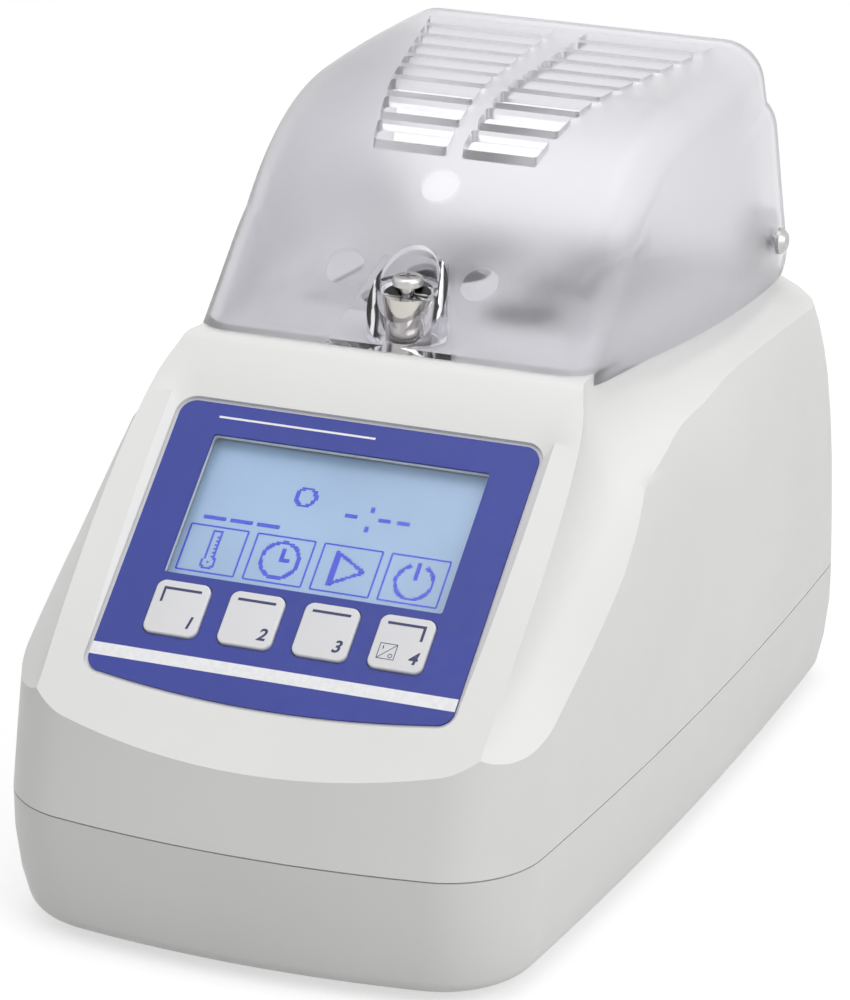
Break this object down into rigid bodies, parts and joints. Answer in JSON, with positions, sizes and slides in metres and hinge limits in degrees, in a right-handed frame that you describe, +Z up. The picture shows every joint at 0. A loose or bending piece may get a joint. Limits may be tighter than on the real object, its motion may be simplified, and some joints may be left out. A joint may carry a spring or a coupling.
{
  "type": "dry bath incubator",
  "caption": "Small bench heater with a sloping key and display panel, round tube wells in a metal block, and a clear hinged hood with vent slots and a magnetic catch.",
  "frame": {"origin": "middle of the footprint, on the bench", "axes": "+X to the right of the operator, +Y to the rear, +Z up"},
  "size_m": [0.1152, 0.1861, 0.1363],
  "materials": {
    "housing": "satin",
    "clear_hood": "frosted",
    "foil": "satin",
    "key_caps": "satin",
    "window": "polished",
    "display": "polished",
    "frame_steel": "satin",
    "steel": "polished",
    "nickel": "polished",
    "aluminium": "machined",
    "board": "gloss",
    "dark_plastic": "matte",
    "foam": "matte",
    "rubber": "matte"
  },
  "bodies": {
    "housing": {"base_tray": "housing", "upper_housing": "housing", "rubber_feet": "rubber", "housing_screws": "steel", "catch_keeper": "steel", "hinge_screws": "steel", "front_foil": "foil", "display_window": "window", "display_backlight": "housing", "display_glass": "display", "display_frame": "frame_steel", "control_board": "board", "key_switches": "dark_plastic", "control_board_parts": "dark_plastic", "control_board_screws": "steel", "block_base": "aluminium", "heating_block": "aluminium", "block_cover": "housing", "cartridge_heaters": "steel", "temperature_sensor": "steel", "block_insulation": "foam", "thermal_cutout": "dark_plastic", "block_pad": "foam", "block_bracket": "steel", "bracket_pillars": "steel", "bracket_screws": "steel", "power_board": "board", "power_board_parts": "dark_plastic", "power_board_screws": "steel", "power_jack": "dark_plastic", "jack_nut": "steel"},
    "hood": {"hood": "clear_hood", "catch_magnet": "nickel", "catch_screw": "steel"},
    "key_1": {"key_1": "key_caps"},
    "key_2": {"key_2": "key_caps"},
    "key_3": {"key_3": "key_caps"},
    "key_4": {"key_4": "key_caps"}
  },
  "joints": [
    {"name": "hood_hinge", "type": "hinge", "parent": "housing", "child": "hood", "pos_m": [0, 0.0783, 0.0972], "axis": [-1, 0, 0], "range_deg": [0, 95]},
    {"name": "key_1_press", "type": "slide", "parent": "housing", "child": "key_1", "axis": [0, 0.6293, -0.7771], "range_m": [0, 0.0004], "stiffness_N_per_m": 1500},
    {"name": "key_2_press", "type": "slide", "parent": "housing", "child": "key_2", "axis": [0, 0.6293, -0.7771], "range_m": [0, 0.0004], "stiffness_N_per_m": 1500},
    {"name": "key_3_press", "type": "slide", "parent": "housing", "child": "key_3", "axis": [0, 0.6293, -0.7771], "range_m": [0, 0.0004], "stiffness_N_per_m": 1500},
    {"name": "key_4_press", "type": "slide", "parent": "housing", "child": "key_4", "axis": [0, 0.6293, -0.7771], "range_m": [0, 0.0004], "stiffness_N_per_m": 1500}
  ]
}
